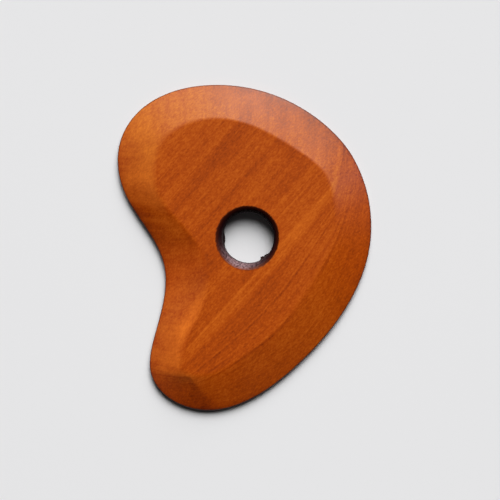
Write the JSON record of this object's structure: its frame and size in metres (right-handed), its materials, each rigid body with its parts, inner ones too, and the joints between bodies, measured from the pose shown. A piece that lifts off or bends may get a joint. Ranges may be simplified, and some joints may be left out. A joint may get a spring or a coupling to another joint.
{
  "type": "pottery rib",
  "caption": "Kidney-shaped wooden rib for shaping clay, with a wide sanded bevel round its top face and a flared finger hole.",
  "frame": {"origin": "on the finger hole's axis, in the plane of the flat underside", "axes": "+Z out of the flat underside towards the plateau, +Y along the length towards the crown, +X towards the rounded back, away from the hollow waist"},
  "size_m": [0.0887, 0.1142, 0.0063],
  "materials": {
    "wood": "fine-grained red-brown hardwood, sanded and oiled to a satin sheen, charred dark in the finger hole"
  },
  "bodies": {
    "root": {"rib": "wood"}
  },
  "joints": []
}
